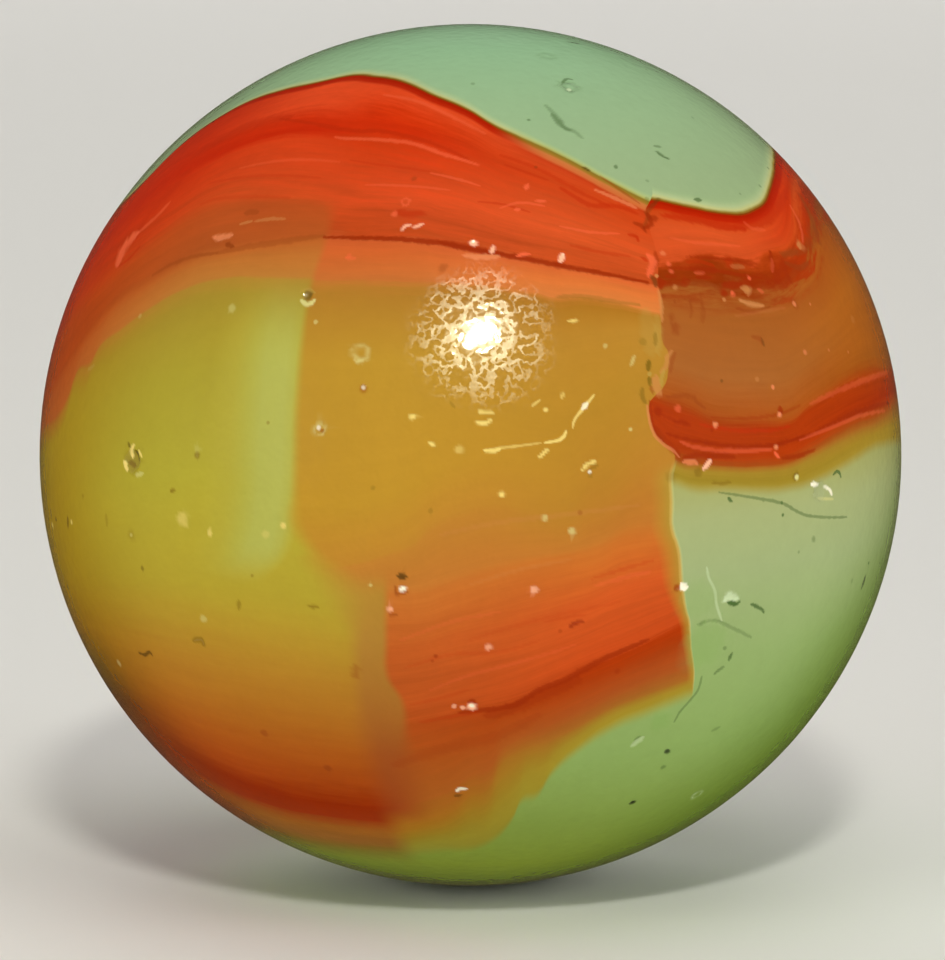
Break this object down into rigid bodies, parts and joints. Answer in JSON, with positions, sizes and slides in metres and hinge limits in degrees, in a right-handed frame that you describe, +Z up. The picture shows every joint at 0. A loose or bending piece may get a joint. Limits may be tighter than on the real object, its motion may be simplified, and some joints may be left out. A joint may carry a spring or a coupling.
{
  "type": "glass marble",
  "caption": "Round glass playing marble with a swirl of red, orange, amber and olive ribbons over pale green glass, lightly pitted from play.",
  "frame": {"origin": "centre of the ball", "axes": "+Z up through the pale green cap, -Y towards the cut-off seam that shows from the front, +X to the right of it"},
  "size_m": [0.016, 0.016, 0.016],
  "materials": {
    "swirl_glass": "polished opaque glass with swirled colours, fine scratches and small pits"
  },
  "bodies": {
    "root": {"marble": "swirl_glass"}
  },
  "joints": []
}
